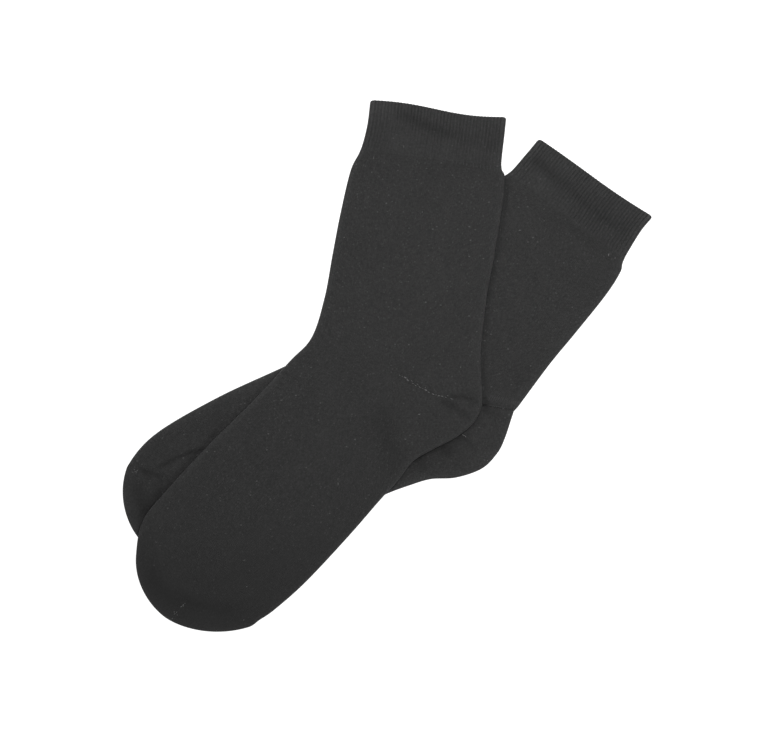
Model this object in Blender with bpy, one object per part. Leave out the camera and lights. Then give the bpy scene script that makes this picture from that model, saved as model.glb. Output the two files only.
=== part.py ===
# A pair of plain crew socks laid flat on a table, one across the other.
# Each sock is a knitted tube pressed flat: a turned welt, a ribbed cuff, a leg and foot,
# a heel pocket and a toe cap, every one a wall of cloth that goes all round.
import math
from collections import namedtuple

import bmesh
import bpy
import numpy as np

MM = 0.001
WALL = 1.2 * MM  # one layer of the knit
WELT_WALL = 1.9 * MM  # the welt is turned double
HOLLOW = 0.6 * MM  # air between the two layers of a flattened tube
FOLD = 2.6 * MM  # how far in from its outline a side fold rounds over
SEAM = 0.3 * MM  # gap between two pieces
REST_GAP = 0.4 * MM  # air between the lower sock and the upper one
DRAPE_HOLD = 1.0 * MM  # the upper sock stays lifted this far past the lower one
DRAPE_END = 34.0 * MM  # and is back on the table here
MOUTH_LIFT = 1.3 * MM  # how far the upper layer stands off at the middle of the mouth
MOUTH_REACH = 30.0 * MM  # how far down the leg that lift fades out
MOUTH_CORNER = 1.7 * MM  # radius of the mouth's corners, seen from above
APEX_GAP = 0.5 * MM  # the heel pocket's points stop this short of the leg
CAP_SAG = 23.5 * MM  # depth of the toe cap's round past its seam
CAP_POINT = 1.1  # 1 makes that round an arc of a circle, and more makes it pointed
CAP_START = 0.5  # the share of that depth that the foot's edges aim for
PANEL_STEPS = 4  # columns from the middle of a panel to its side fold
FOLD_STEPS = (0.0, 0.3, 1.0)  # columns across a side fold, as shares of FOLD
LEAST_SHARE = 0.05  # keeps the inner faces of the two layers apart beside a fold

CLOTH_COLOURS = {
    "welt": (0.041, 0.041, 0.042),
    "cuff": (0.040, 0.040, 0.041),
    "body": (0.037, 0.037, 0.038),
    "heel": (0.034, 0.034, 0.035),
    "toe": (0.031, 0.031, 0.032),
}

# A section runs across the flat sock from its front fold to its back fold, in millimetres.
# pull is how far its middle is drawn to the heel's point, and bands the rows of faces after it.
Section = namedtuple("Section", "name front back pull bands")

# heel lists points of the heel's round between the leg's last section and the foot's first.
# skew leans the toe's tip to the front fold, wave is the rise and fall of the mouth's edge, and
# bow is how far the middle of that edge sags.
Sock = namedtuple("Sock", "name apex leg heel foot skew wave bow")

TOP_SOCK = Sock(
    name="top_sock",
    apex=(6.5, -6.5),
    leg=(
        Section("mouth", (-11.0, 166.9), (74.9, 155.9), 0.0, 2),
        Section("welt_foot", (-13.0, 151.0), (73.6, 144.0), 0.0, 2),
        Section("cuff_foot", (-17.1, 135.5), (71.6, 125.0), 0.0, 2),
        Section("calf", (-23.3, 122.5), (73.6, 118.0), 0.0, 3),
        Section("shin", (-29.7, 95.5), (71.8, 99.0), 0.1, 3),
        Section("low_shin", (-34.7, 69.5), (67.0, 69.0), 0.3, 3),
        Section("ankle", (-39.7, 42.5), (62.3, 43.5), 0.6, 3),
        Section("heel_top", (-47.7, 17.6), (58.7, 11.0), 1.0, 0),
    ),
    heel=(
        (58.4, -4.5),
        (59.4, -20.0),
        (57.9, -29.1),
        (52.9, -37.4),
        (42.1, -45.8),
        (28.6, -52.8),
        (16.0, -60.4),
    ),
    foot=(
        Section("heel_sole", (-47.7, 17.6), (6.5, -72.5), 1.0, 2),
        Section("arch", (-61.5, 2.5), (-5.0, -85.0), 0.6, 3),
        Section("instep", (-83.0, -20.9), (-25.0, -108.0), 0.2, 4),
        Section("ball", (-111.4, -49.0), (-51.3, -136.2), 0.0, 4),
        Section("toe_base", (-138.9, -78.6), (-70.6, -153.4), 0.0, 2),
        Section("toe_side", (-153.7, -97.6), (-80.5, -160.3), 0.0, 2),
        Section("toe_seam", (-158.0, -118.5), (-88.0, -165.0), 0.0, 0),
    ),
    skew=3.7,
    wave=1.3,
    bow=0.8,
)

UNDER_SOCK = Sock(
    name="under_sock",
    apex=(31.5, -20.0),
    leg=(
        Section("mouth", (95.1, 142.8), (166.9, 93.4), 0.0, 2),
        Section("welt_foot", (86.1, 131.9), (159.2, 83.8), 0.0, 2),
        Section("cuff_foot", (76.2, 121.0), (148.9, 66.6), 0.0, 2),
        Section("calf", (62.5, 112.5), (146.5, 58.5), 0.0, 2),
        Section("shin", (46.5, 87.5), (137.4, 44.2), 0.1, 2),
        Section("low_shin", (29.5, 67.5), (118.5, 20.6), 0.3, 2),
        Section("ankle", (11.5, 44.0), (102.0, 0.6), 0.6, 3),
        Section("heel_top", (-5.5, 27.5), (82.0, -26.3), 1.0, 0),
    ),
    heel=(
        (79.9, -28.2),
        (78.1, -33.3),
        (73.7, -46.4),
        (69.0, -55.5),
        (59.3, -65.1),
        (43.0, -70.7),
        (27.0, -71.7),
        (13.3, -75.8),
    ),
    foot=(
        Section("heel_sole", (-5.5, 27.5), (0.5, -80.5), 1.0, 1),
        Section("arch", (-25.5, 18.5), (-10.0, -86.0), 0.6, 2),
        Section("instep", (-64.5, -0.5), (-36.0, -100.5), 0.2, 3),
        Section("ball", (-107.5, -20.5), (-66.5, -115.0), 0.0, 3),
        Section("toe_base", (-146.2, -43.3), (-93.0, -124.5), 0.0, 3),
        Section("toe_seam", (-164.0, -64.0), (-109.0, -128.5), 0.0, 0),
    ),
    skew=3.0,
    wave=0.4,
    bow=0.9,
)


def clear_scene():
    for item in list(bpy.data.objects):
        bpy.data.objects.remove(item)


def smooth_edge(points, beyond):
    """A smooth curve through plan points: edge(2.5) is halfway from the third to the fourth.

    beyond is the point that the curve would go on to."""
    spots = np.array(points, float) * MM
    spots = np.vstack((2 * spots[0] - spots[1], spots, beyond))

    def edge(at):
        first = min(int(at), len(points) - 2)
        t = at - first
        a, b, c, d = spots[first : first + 4]
        bend = (2 * a - 5 * b + 4 * c - d) * t + (3 * b - a - 3 * c + d) * t * t
        return b + 0.5 * t * (c - a + bend)

    return edge


def moved_along(edge, at, distance):
    """The place on an edge this far past at, as that edge's own parameter."""
    nearby = 0.01
    speed = np.linalg.norm(edge(at + nearby) - edge(at - nearby)) / (2 * nearby)
    return at + distance / speed


class Plan:
    """The sock's flat outline and its sections, seen from above."""

    def __init__(self, sock):
        self.sock = sock
        self.apex = np.array(sock.apex) * MM
        self.leg_end = len(sock.leg) - 1
        self.heel_end = self.leg_end + len(sock.heel) + 1
        self.cap_front = np.array(sock.foot[-1].front) * MM
        self.cap_back = np.array(sock.foot[-1].back) * MM
        fronts = [s.front for s in sock.leg] + [s.front for s in sock.foot[1:]]
        backs = [s.back for s in sock.leg] + list(sock.heel) + [s.back for s in sock.foot]
        round_front, _, round_back = self.cap_section(CAP_START)
        self.front = smooth_edge(fronts, round_front)
        self.back = smooth_edge(backs, round_back)
        self.outline = self.trace()

    def leg_section(self, at, gap=0.0):
        """Front, middle and back of the leg's section, at counted in rows of the table."""
        row = min(int(at), self.leg_end - 1)
        rows = self.sock.leg
        pull = rows[row].pull + (at - row) * (rows[row + 1].pull - rows[row].pull)
        front = self.front(moved_along(self.front, at, gap))
        back = self.back(moved_along(self.back, at, gap))
        return front, self.pulled(front, back, pull), back

    def foot_section(self, at, gap=0.0):
        """The same for the foot, at counted from its first section."""
        rows = self.sock.foot
        row = min(int(at), len(rows) - 2)
        pull = rows[row].pull + (at - row) * (rows[row + 1].pull - rows[row].pull)
        front = self.front(moved_along(self.front, self.leg_end + at, gap))
        back = self.back(moved_along(self.back, self.heel_end + at, gap))
        return front, self.pulled(front, back, pull), back

    def cap_section(self, depth, within=0.0):
        """A chord of the toe cap's round, or of a round that far within it.

        depth goes from 0 at the seam to 1 at the tip."""
        across = (self.cap_back - self.cap_front) / 2
        half = np.linalg.norm(across)
        across /= half
        radius = (half * half + CAP_SAG * CAP_SAG) / (2 * CAP_SAG)
        deep = depth * (CAP_SAG - within)
        from_centre = radius - CAP_SAG + deep
        reach = math.sqrt(max((radius - within) ** 2 - from_centre**2, 0.0))
        reach = half * (reach / half) ** CAP_POINT
        outward = np.array((across[1], -across[0]))
        lean = outward - across * self.sock.skew * MM / CAP_SAG
        middle = (self.cap_front + self.cap_back) / 2 + lean * deep
        return middle - across * reach, middle, middle + across * reach

    def pulled(self, front, back, pull):
        middle = (front + back) / 2
        return middle + (self.apex - middle) * pull

    def trace(self):
        """The whole outline as a closed polygon, from the mouth down the front and back up."""
        fine = 8
        cap = [self.cap_section(math.sin(k * math.pi / 2 / fine)) for k in range(1, fine + 1)]
        front_end = self.leg_end + len(self.sock.foot) - 1
        back_end = self.heel_end + len(self.sock.foot) - 1
        down = [self.front(k / fine) for k in range(front_end * fine + 1)]
        up = [self.back(k / fine) for k in range(back_end * fine + 1)]
        round_end = [c[0] for c in cap] + [c[2] for c in reversed(cap[:-1])]
        return np.array(down + round_end + up[::-1])


def distance_to(path, spot, closed=False):
    """How far a plan point is from a line of plan points."""
    start = path
    end = np.roll(path, -1, axis=0)
    if not closed:
        start, end = start[:-1], end[:-1]
    run = end - start
    length = np.maximum((run * run).sum(1), 1e-12)
    share = np.clip(((spot - start) * run).sum(1) / length, 0.0, 1.0)
    return float(np.linalg.norm(start + run * share[:, None] - spot, axis=1).min())


def inside(path, spot):
    """Whether a plan point is inside a closed outline."""
    after = np.roll(path, -1, axis=0)
    spans = (path[:, 1] > spot[1]) != (after[:, 1] > spot[1])
    rise = np.where(spans, after[:, 1] - path[:, 1], 1.0)
    crossing = path[:, 0] + (spot[1] - path[:, 1]) * (after[:, 0] - path[:, 0]) / rise
    return int((spans & (spot[0] < crossing)).sum()) % 2 == 1


def eased(share):
    share = min(max(share, 0.0), 1.0)
    return share * share * (3 - 2 * share)


def flat_height(wall):
    """The height of a flattened tube with this wall."""
    return 2 * wall + HOLLOW


class Surface:
    """Turns plan points into points on the outer face of a flattened, resting tube."""

    def __init__(self, plan, below=None):
        self.plan = plan
        self.below = below

    def lift(self, spot):
        """How far the sock is raised here by the one that it lies on."""
        if self.below is None:
            return 0.0
        if inside(self.below.outline, spot):
            out = 0.0
        else:
            out = distance_to(self.below.outline, spot, closed=True)
        share = (out - DRAPE_HOLD) / (DRAPE_END - DRAPE_HOLD)
        return (flat_height(WALL) + REST_GAP) * (1 - eased(share))

    def mouth(self, spot):
        """How far the upper layer stands off near the open end."""
        front, middle, back = self.plan.leg_section(0.0)
        across = (back - front) / np.linalg.norm(back - front)
        down = np.array((across[1], -across[0]))
        along = float((spot - front) @ down) / MOUTH_REACH
        place = float((spot - front) @ across) / np.linalg.norm(back - front)
        bow = math.sin(math.pi * min(max(place, 0.0), 1.0))
        return MOUTH_LIFT * bow * (1 - eased(along))

    def heights(self, spot, side, wall, on_fold):
        """Heights of the outer and inner face. side is 1 on the upper layer, -1 on the lower."""
        base = self.lift(spot)
        if side > 0 and not on_fold:
            base += self.mouth(spot)
        middle = flat_height(wall) / 2
        away = 0.0 if on_fold else distance_to(self.plan.outline, spot)
        outer = middle * (1 + side * rounded(away / FOLD)) + base
        share = 0.0 if on_fold else max((away - wall) / (FOLD - wall), LEAST_SHARE)
        inner = middle + side * HOLLOW / 2 * rounded(share) + base
        return outer, inner


def rounded(share):
    """A quarter round: 0 at the outline and 1 from the end of the fold on."""
    share = min(max(share, 0.0), 1.0)
    return math.sqrt(1 - (1 - share) ** 2)


def half_row(fold, middle, reach):
    """Plan points from a side fold to the middle of the panel."""
    length = max(np.linalg.norm(middle - fold), 0.01 * MM)
    shares = [step * min(reach, 0.4 * length) / length for step in FOLD_STEPS]
    start = shares[-1]
    shares += [start + (1 - start) * k / PANEL_STEPS for k in range(1, PANEL_STEPS + 1)]
    return [fold + (middle - fold) * share for share in shares]


def moved_to(start, end, distance):
    return start + (end - start) * distance / np.linalg.norm(end - start)


def inset(outline, fold, middle, wall):
    """The inner face's fold: as far in along the section as leaves the wall its thickness."""
    slant = distance_to(outline, moved_to(fold, middle, wall)) / wall
    return moved_to(fold, middle, wall / slant)


def layers(surface, outer_row, inner_row, wall, folds):
    """Both faces of the upper layer, then of the lower one back again, as pairs of points."""
    pairs = []
    for side, places in ((1, range(len(outer_row))), (-1, range(len(outer_row) - 1, -1, -1))):
        for k in places:
            if side < 0 and k in folds:
                continue
            out, within = outer_row[k], inner_row[k]
            high = surface.heights(out, side, wall, k in folds)[0]
            low = surface.heights(within, side, wall, k in folds)[1]
            pairs.append(((*out, high), (*within, low)))
    return pairs


def mouth_rise(sock, place, width):
    """How far the mouth's edge rises above a straight line, at a place across it."""
    share = place / width
    rise = sock.wave * math.sin(2 * math.pi * share) - sock.bow * math.sin(math.pi * share)
    corner = MOUTH_CORNER - min(place, width - place)
    if corner > 0:
        rise -= (MOUTH_CORNER - math.sqrt(MOUTH_CORNER**2 - corner**2)) / MM
    return rise * MM


def ring(surface, section, inner, wall, shaped=0.0):
    """One closed loop round the tube: front fold, upper layer, back fold, lower layer.

    shaped is the share of the mouth's rise and fall that the loop takes."""
    rows = []
    for (front, middle, back), reach in ((section, FOLD), (inner, FOLD - wall)):
        row = half_row(front, middle, reach) + half_row(back, middle, reach)[-2::-1]
        if shaped:
            width = np.linalg.norm(section[2] - section[0])
            across = (section[2] - section[0]) / width
            up = np.array((-across[1], across[0])) * shaped
            places = [min(max(float((spot - section[0]) @ across), 0.0), width) for spot in row]
            rises = [mouth_rise(surface.plan.sock, place, width) for place in places]
            row = [spot + up * rise for spot, rise in zip(row, rises)]
        rows.append(row)
    return layers(surface, *rows, wall, (0, len(rows[0]) - 1))


def heel_row(surface, apex, back):
    """An open row of the heel pocket, from its upper point round the back fold to its lower one."""
    outer = half_row(back, apex, FOLD)[::-1]
    fold = inset(surface.plan.outline, back, apex, WALL)
    inner = half_row(fold, apex, FOLD - WALL)[::-1]
    return layers(surface, outer, inner, WALL, (len(outer) - 1,))


def inner_section(outline, section, wall):
    front, middle, back = section
    return inset(outline, front, middle, wall), middle, inset(outline, back, middle, wall)


class Shell:
    """A wall of cloth: an outer and an inner skin with the same layout, joined round each opening."""

    def __init__(self):
        self.pairs = []
        self.known = {}
        self.faces = []

    def corner(self, pair):
        key = tuple(round(value / (0.02 * MM)) for value in pair[0])
        if key not in self.known:
            self.known[key] = len(self.pairs)
            self.pairs.append(pair)
        return self.known[key]

    def add_grid(self, rows, closed):
        """Joins rows of pairs, each as long as the next, with faces."""
        rows = [[self.corner(pair) for pair in row] for row in rows]
        count = len(rows[0])
        for near, far in zip(rows, rows[1:]):
            for k in range(count if closed else count - 1):
                after = (k + 1) % count
                face = []
                for corner in (near[k], near[after], far[after], far[k]):
                    if corner not in face:
                        face.append(corner)
                if len(face) > 2:
                    self.faces.append(face)

    def open_edges(self):
        """Edges with a face on one side only, in that face's direction."""
        edges = [edge for face in self.faces for edge in zip(face, face[1:] + face[:1])]
        both = set(edges)
        return [(a, b) for a, b in edges if (b, a) not in both]

    def to_mesh(self, name):
        mesh = bmesh.new()
        outer = [mesh.verts.new(pair[0]) for pair in self.pairs]
        inner = [mesh.verts.new(pair[1]) for pair in self.pairs]
        for face in self.faces:
            mesh.faces.new([outer[k] for k in face])
            mesh.faces.new([inner[k] for k in reversed(face)])
        for a, b in self.open_edges():
            mesh.faces.new((outer[b], outer[a], inner[a], inner[b]))
        if mesh.calc_volume(signed=True) < 0:
            bmesh.ops.reverse_faces(mesh, faces=mesh.faces)
        data = bpy.data.meshes.new(name)
        mesh.to_mesh(data)
        mesh.free()
        data.shade_smooth()
        return data


def cloth(name, kind, grids, closed, collection):
    """One piece of cloth, made from its grids of points."""
    shell = Shell()
    for rows in grids:
        shell.add_grid(rows, closed)
    data = shell.to_mesh(name)
    data.materials.append(cloth_material(name, CLOTH_COLOURS[kind]))
    collection.objects.link(bpy.data.objects.new(name, data))


def cloth_material(name, colour):
    material = bpy.data.materials.new(name)
    material.use_nodes = True
    shader = material.node_tree.nodes["Principled BSDF"]
    shader.inputs["Base Color"].default_value = (*colour, 1.0)
    shader.inputs["Roughness"].default_value = 0.95
    shader.inputs["Metallic"].default_value = 0.0
    return material


def spread(first, last, rows):
    """Places between two sections of a table, as many as their bands ask for."""
    places = []
    for row in range(first, last):
        places += [row + k / rows[row].bands for k in range(rows[row].bands)]
    return places + [last]


def leg_grid(surface, wall, first, last, gaps=(0.0, 0.0)):
    plan = surface.plan
    places = spread(first, last, plan.sock.leg)
    shifts = [gaps[0]] + [0.0] * (len(places) - 2) + [gaps[1]]
    rows = []
    for at, gap in zip(places, shifts):
        section = plan.leg_section(at, gap)
        inner = inner_section(plan.outline, section, wall)
        rows.append(ring(surface, section, inner, wall, max(0, 1 - at)))
    return rows


def foot_grid(surface):
    plan = surface.plan
    places = spread(0, len(plan.sock.foot) - 1, plan.sock.foot)
    sections = [plan.foot_section(at) for at in places[:-1]]
    sections.append(plan.foot_section(places[-1], -SEAM / 2))
    return [
        ring(surface, section, inner_section(plan.outline, section, WALL), WALL)
        for section in sections
    ]


def add_welt(surface, collection):
    rows = leg_grid(surface, WELT_WALL, 0, 1, (0.0, -SEAM / 2))
    cloth(surface.plan.sock.name + "_welt", "welt", [rows], True, collection)


def add_cuff(surface, collection):
    rows = leg_grid(surface, WALL, 1, 2, (SEAM / 2, -SEAM / 2))
    cloth(surface.plan.sock.name + "_cuff", "cuff", [rows], True, collection)


def add_body(surface, collection):
    """Leg and foot in one, joined over the instep and open behind, where the heel pocket goes."""
    leg = leg_grid(surface, WALL, 2, surface.plan.leg_end, (SEAM / 2, 0.0))
    grids = [leg, foot_grid(surface)]
    cloth(surface.plan.sock.name + "_body", "body", grids, True, collection)


def add_heel(surface, collection):
    """A pocket between two points at the sides of the foot, round the back fold."""
    plan = surface.plan
    middle = plan.back((plan.leg_end + plan.heel_end) / 2)
    apex = moved_to(plan.apex, middle, APEX_GAP)
    places = list(range(plan.leg_end, plan.heel_end + 1))
    places[0] = moved_along(plan.back, places[0], SEAM)
    places[-1] = moved_along(plan.back, places[-1], -SEAM)
    rows = [heel_row(surface, apex, plan.back(at)) for at in places]
    cloth(plan.sock.name + "_heel", "heel", [rows], False, collection)


def add_toe(surface, collection):
    """A round cap, closed at its tip."""
    plan = surface.plan
    depths = [SEAM / 2 / CAP_SAG, 0.3, 0.6] + [1 - step * FOLD / CAP_SAG for step in FOLD_STEPS[::-1]]
    rows = [
        ring(surface, plan.cap_section(depth), plan.cap_section(depth, WALL), WALL)
        for depth in depths
    ]
    cloth(plan.sock.name + "_toe", "toe", [rows], True, collection)


def build_sock(surface, collection):
    add_welt(surface, collection)
    add_cuff(surface, collection)
    add_body(surface, collection)
    add_heel(surface, collection)
    add_toe(surface, collection)


def main():
    clear_scene()
    collection = bpy.data.collections.new("pair_of_socks")
    bpy.context.scene.collection.children.link(collection)
    under = Plan(UNDER_SOCK)
    build_sock(Surface(under), collection)
    build_sock(Surface(Plan(TOP_SOCK), below=under), collection)


main()
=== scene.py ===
import math

import bmesh
import bpy
import numpy as np
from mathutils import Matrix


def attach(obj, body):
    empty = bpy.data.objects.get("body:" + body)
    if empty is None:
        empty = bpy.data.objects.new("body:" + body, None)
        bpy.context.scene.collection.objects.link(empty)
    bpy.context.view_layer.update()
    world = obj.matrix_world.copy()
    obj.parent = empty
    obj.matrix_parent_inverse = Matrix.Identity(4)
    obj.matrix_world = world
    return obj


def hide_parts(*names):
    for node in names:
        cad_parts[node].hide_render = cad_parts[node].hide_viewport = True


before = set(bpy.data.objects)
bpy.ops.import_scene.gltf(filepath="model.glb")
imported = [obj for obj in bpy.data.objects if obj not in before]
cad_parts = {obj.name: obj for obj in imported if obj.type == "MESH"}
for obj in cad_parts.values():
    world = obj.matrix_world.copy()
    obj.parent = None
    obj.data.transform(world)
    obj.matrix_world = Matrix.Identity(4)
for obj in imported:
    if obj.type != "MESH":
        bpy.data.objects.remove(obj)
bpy.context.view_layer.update()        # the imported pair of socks, as the fixed frame
bpy.ops.object.select_all(action="DESELECT")
mm = 0.001
atOnce = 4096            # points measured against a line in one go

# How a sock of this pair lies: a knitted tube, pressed flat.
lying = {
    "wall": 1.2 * mm,         # one layer of plain knit
    "weltWall": 1.9 * mm,     # the turned welt is double
    "hollow": 0.6 * mm,       # air between the two layers
    "fold": 2.6 * mm,         # how far in a side fold rounds over
    "foldShare": 0.4,         # and no more than this share of half a panel
    "foldArc": 1.27,          # cloth that a fold takes up, for each millimetre of that
    "innerProbe": 0.6,        # where an inner fold's slant is measured, and where it lies, as a share
    "innerFold": 0.7,         # of the way to the middle at most
    "creaseInside": 0.5,      # share of a crease that shows on the inner face
    "socksApart": 0.4 * mm,   # air between the lower sock and the upper one
    "hold": 1.0 * mm,         # the upper sock stays up this far past the lower one
    "land": 34.0 * mm,        # and is down on the table here
    "mouthLift": 1.3 * mm,    # stand-off of the upper layer at the middle of the mouth
    "mouthReach": 30.0 * mm,  # how far down the leg that stand-off fades
    "mouthCorner": 1.7 * mm,  # radius of the mouth's corners, seen from above
    "rim": 0.8 * mm,          # roundness of the welt's turned edge
    "capSag": 23.5 * mm,      # depth of the toe's round past its seam
    "capPoint": 1.1,
    "capStart": 0.5,
    "least": 0.01 * mm,       # lengths that others are divided by stay over this
    "halfColumns": 40,        # columns from a side fold to the middle of a panel
    "ribColumns": 5,          # columns of the ribbed pieces for each of those
    "rowStep": 1.45 * mm,
    "toeRows": 25,
    "creaseSteps": 8,         # short lengths to each point of a crease's line
    "creaseEnd": 5,           # a crease fades at each end over this many times its width,
    "creaseFade": 0.3,        # and over this share of its line at the most
    "creaseTone": 0.8,        # below 1, its painted shade spreads wider than its dip
    "waves": 10,              # slow waves that any laid knit has
    "waveLengths": (14, 46),  # from and to, in millimetres
    "waveHeight": 0.028 * mm,
    "wales": 164,             # knitted columns round the tube
    "wale": 1.2 * mm,
    "cuffStart": 15 * mm,     # length of knit above the cuff, and above the leg
    "legStart": 30 * mm,
}

# Ribbed top: single rib, of which the first part is turned to a double welt.
ribbing = {
    "ribs": 84,               # round the tube
    "depth": 0.55 * mm,
    "uneven": (0.75, 1.10),   # share of that depth that a groove has, from and to
    "narrow": 0.8,            # below 1, the grooves are narrower than the ribs
    "tone": -0.42,            # the grooves between them get that much painted shade
    "fade": 1.8 * mm,         # the ribs run out into the plain leg over this length
    "edgeTone": 0.16,         # the welt is lighter towards its turned edge
    "rowStep": 1.15 * mm,
    "scallop": 0.22,          # how far the edge dips between ribs, as a share of its roundness
}

# Sections of each sock from front fold to back fold, in millimetres: name, front, back, and how far
# its middle is drawn to the heel's point. Creases: depth, width, tone, points of the line; the tone is
# painted shade where it is below nothing and painted light where it is above. One that has no depth
# is only painted light or shade. Swells of the upper layer: height, reach, middle.
topSock = {
    "name": "top",
    "apex": (6.5, -6.5),
    "leg": [
        ("mouth", (-11.0, 166.9), (74.9, 155.9), 0.0),
        ("weltFoot", (-13.0, 151.0), (73.6, 144.0), 0.0),
        ("cuffFoot", (-17.1, 135.5), (71.6, 125.0), 0.0),
        ("calf", (-23.3, 122.5), (73.6, 118.0), 0.0),
        ("shin", (-29.7, 95.5), (71.8, 99.0), 0.1),
        ("lowShin", (-34.7, 69.5), (67.0, 69.0), 0.3),
        ("ankle", (-39.7, 42.5), (62.3, 43.5), 0.6),
        ("heelTop", (-47.7, 17.6), (58.7, 11.0), 1.0),
    ],
    "heel": [(58.4, -4.5), (59.4, -20.0), (57.9, -29.1), (52.9, -37.4), (42.1, -45.8),
             (28.6, -52.8), (16.0, -60.4)],
    "foot": [
        ("heelSole", (-47.7, 17.6), (6.5, -72.5), 1.0),
        ("arch", (-61.5, 2.5), (-5.0, -85.0), 0.6),
        ("instep", (-83.0, -20.9), (-25.0, -108.0), 0.2),
        ("ball", (-111.4, -49.0), (-51.3, -136.2), 0.0),
        ("toeBase", (-138.9, -78.6), (-70.6, -153.4), 0.0),
        ("toeSide", (-153.7, -97.6), (-80.5, -160.3), 0.0),
        ("toeSeam", (-158.0, -118.5), (-88.0, -165.0), 0.0),
    ],
    "gore": 2,                # the heel point where the gore line comes out
    "skew": 3.7,              # lean of the toe's tip to the front
    "wave": 1.3,              # rise and fall of the mouth's edge
    "bow": 0.8,               # how far the middle of that edge sags
    "weltStep": 11.0,         # length over which the welt thins out to the cuff
    "ribEnd": 0.5,            # depth of the ribs at the cuff's foot, as a share of that at its edge
    "foldHighlight": 0.17,         # painted highlight along the side folds
    "foldReach": 2.8,         # and this far in
    # where the ribs are pulled flat: middle, reach, share
    "flatRibs": [(8, 139, 13, 0.9), (34, 131, 13, 0.6), (62, 127, 13, 0.2)],
    "creases": [
        # the welt's dent, which slants down from its edge, with painted shade in it
        (0.55, 3.3, -0.23, [(4, 163), (9, 158), (18, 153.5), (28, 149), (38, 145.5), (50, 142.5)]),
        (0.25, 4.0, -0.06, [(36, 145.5), (50, 141.5), (63, 139), (73, 139)]),
        (0.20, 3.5, -0.05, [(-14, 137), (2, 133.5), (14, 131)]),
        # painted light on the welt's left corner
        (0.00, 7.0, 0.14, [(-20, 163), (-8, 164), (8, 166)]),
        # painted light along the front fold, then a shallow crease with painted shade
        (0.00, 2.2, 0.12, [(-15, 141), (-22, 122.5), (-28.7, 95.5), (-33.7, 69.5), (-39, 42)]),
        (0.00, 1.1, 0.15, [(-66, -4), (-82.3, -21.6), (-96.6, -35.4), (-110.8, -49.8), (-122, -61.5)]),
        (0.18, 5.0, -0.06, [(34, 129.5), (52, 126), (69, 124)]),
        # the gore and the two creases that run from its end, with painted shade in them
        (0.30, 1.6, -0.06, [(4, -4), (12, -8.5), (24, -15.5), (31, -18.5), (40, -20)]),
        (0.45, 1.2, -0.30, [(36, -20.8), (41, -19.8), (46.5, -19.6), (51, -20.6), (59, -22.4)]),
        (0.25, 2.2, -0.14, [(49, -22.2), (54, -23), (60, -24)]),
        (0.35, 2.0, -0.20, [(29, -22.4), (36, -23.8), (40, -25), (44, -28), (50, -32), (55, -36)]),
        (0.20, 2.8, -0.08, [(31, -21.5), (38, -24.2), (45, -28)]),
        (0.55, 7.0, -0.17, [(-6, -20), (-3, -34), (0, -48), (3, -60), (8, -76)]),
        (0.20, 3.2, -0.05, [(10, -6), (22, 2), (36, 7), (50, 10)]),
        # the round of the toe sinks a little inside its edge, with painted shade there
        (0.60, 5.2, -0.14, [(-153, -104), (-150.5, -120), (-147, -134), (-141.5, -142.5), (-134, -146.5),
                            (-125, -149.5), (-115, -152.5), (-104, -153.5), (-92, -151.5), (-80, -147)]),
        (0.22, 6.0, -0.05, [(-127, -129), (-116, -136), (-104, -137)]),
        (0.20, 7.0, -0.04, [(-92, -44), (-84, -62), (-70, -80)]),
        (0.18, 6.0, -0.03, [(-38, 14), (-22, -10), (-8, -24)]),
    ],
    "hiddenCreases": [         # in the lower layer, with painted shade in its creases
        (0.35, 3.0, -0.12, [(10, -9), (26, -17), (40, -22), (56, -25)]),
        (0.30, 3.8, -0.08, [(-6, -30), (0, -48), (8, -66)]),
        (0.30, 4.4, -0.10, [(-146, -112), (-143, -132), (-129, -145), (-110, -150)]),
        (0.25, 4.0, -0.06, [(-10, 150), (20, 146), (52, 141)]),
    ],
    "swells": [
        (0.9, 22.0, (30, -34)), (0.7, 30.0, (20, 60)), (0.8, 24.0, (-68, -60)),
        (0.9, 16.0, (-124, -128)), (0.4, 14.0, (48, 104)),
    ],
    "seed": 5,
}
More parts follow.
